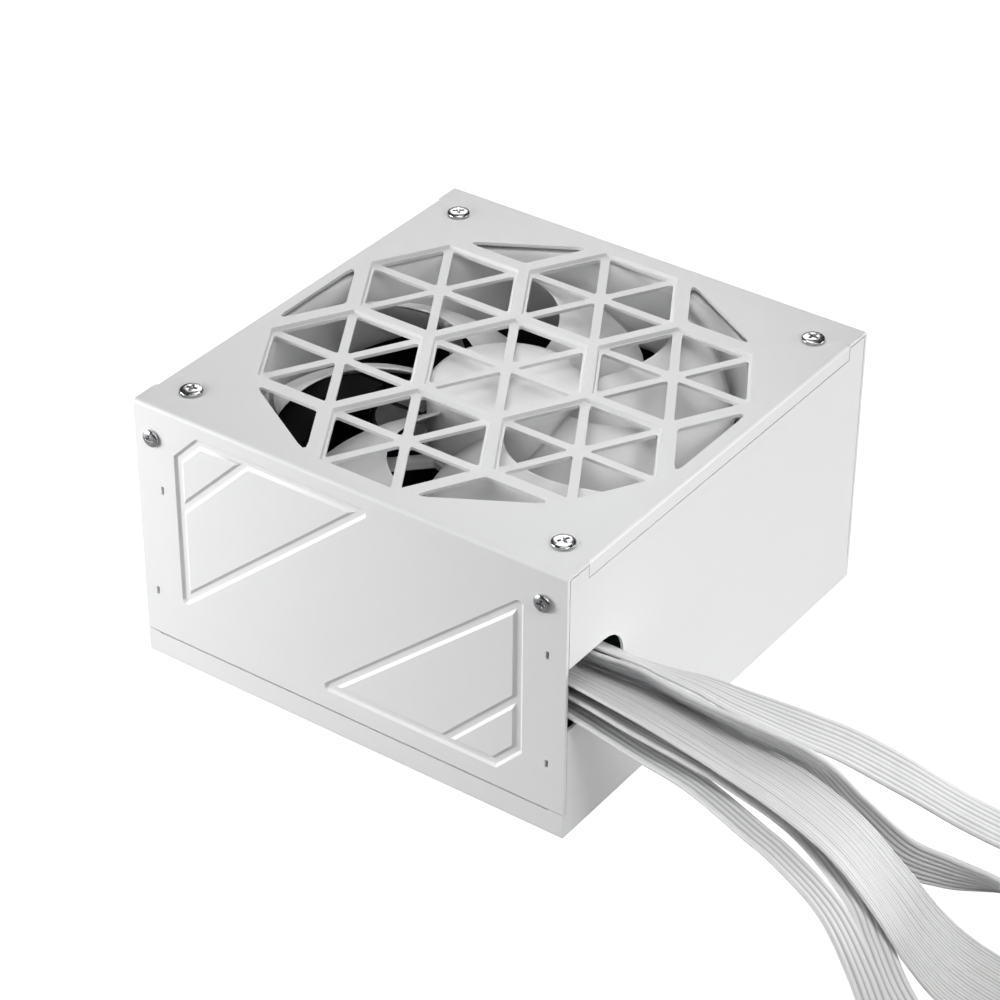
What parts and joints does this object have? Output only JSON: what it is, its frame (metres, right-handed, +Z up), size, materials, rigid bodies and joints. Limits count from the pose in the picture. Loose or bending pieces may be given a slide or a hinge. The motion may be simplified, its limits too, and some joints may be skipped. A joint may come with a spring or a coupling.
{
  "type": "computer power supply unit",
  "caption": "White steel desktop-computer power supply with a honeycomb fan grille, mains inlet, rocker switch and five flat ribbon output cables.",
  "frame": {"origin": "bottom centre of the steel case, on the surface it stands on", "axes": "+X out of the wall that the output cables leave by, -X out of the wall with the mains inlet, -Y out of the side with the pressed pattern, +Z up through the fan grille"},
  "size_m": [0.4743, 0.2007, 0.0869],
  "materials": {
    "white_paint": "fine-textured white powder coat on steel sheet",
    "white_plastic": "moulded white plastic, satin",
    "black_plastic": "moulded black plastic, fine grain",
    "chrome": "bright plated steel",
    "aluminium": "extruded, satin",
    "board": "dark solder mask over glass-fibre board",
    "insulation": "thin smoky polyester film",
    "ferrite": "sintered ferrite, dull",
    "tape": "yellow polyester tape",
    "copper": "enamelled copper winding",
    "capacitor_sleeve": "shrink sleeve with a bare aluminium end",
    "cable": "white flexible wire insulation, satin"
  },
  "bodies": {
    "root": {"cover": "white_paint", "base_tray": "white_paint", "fan_frame": "white_plastic", "main_plug": "white_plastic", "processor_plug_a": "white_plastic", "processor_plug_b": "white_plastic", "graphics_plug": "white_plastic", "graphics_plug_extra": "white_plastic", "drive_plug": "white_plastic", "peripheral_plug": "white_plastic", "fan_plug": "white_plastic", "mains_inlet": "black_plastic", "switch_housing": "black_plastic", "bridge_rectifier": "black_plastic", "wire_guide": "black_plastic", "fan_lead": "black_plastic", "fan_screw_1": "chrome", "fan_screw_2": "chrome", "fan_screw_3": "chrome", "fan_screw_4": "chrome", "case_screw_1": "chrome", "case_screw_2": "chrome", "case_screw_3": "chrome", "case_screw_4": "chrome", "board_screw_1": "chrome", "board_screw_2": "chrome", "board_screw_3": "chrome", "board_screw_4": "chrome", "mains_pin_line": "chrome", "mains_pin_earth": "chrome", "mains_pin_neutral": "chrome", "primary_heatsink": "aluminium", "secondary_heatsink": "aluminium", "circuit_board": "board", "insulation_sheet": "insulation", "transformer_core": "ferrite", "transformer_winding": "tape", "filter_capacitor": "tape", "standby_transformer": "tape", "fan_stator": "copper", "common_mode_choke": "copper", "output_toroid": "copper", "bulk_capacitor": "capacitor_sleeve", "output_capacitor_1": "capacitor_sleeve", "output_capacitor_2": "capacitor_sleeve", "output_capacitor_3": "capacitor_sleeve", "main_cable": "cable", "main_cable_hank": "cable", "processor_cable": "cable", "processor_cable_hank": "cable", "graphics_cable": "cable", "graphics_cable_hank": "cable", "drive_cable": "cable", "drive_cable_hank": "cable", "peripheral_cable": "cable", "peripheral_cable_hank": "cable"},
    "rotor": {"fan_rotor": "white_plastic"},
    "rocker": {"switch_rocker": "black_plastic"}
  },
  "joints": [
    {"name": "fan_spin", "type": "hinge", "parent": "root", "child": "rotor", "pos_m": [0, 0, 0.07], "axis": [0, 0, 1], "continuous": true},
    {"name": "rocker_tilt", "type": "hinge", "parent": "root", "child": "rocker", "pos_m": [-0.0681, 0.02, 0.024], "axis": [0, 1, 0], "range_deg": [-16, 0]}
  ]
}
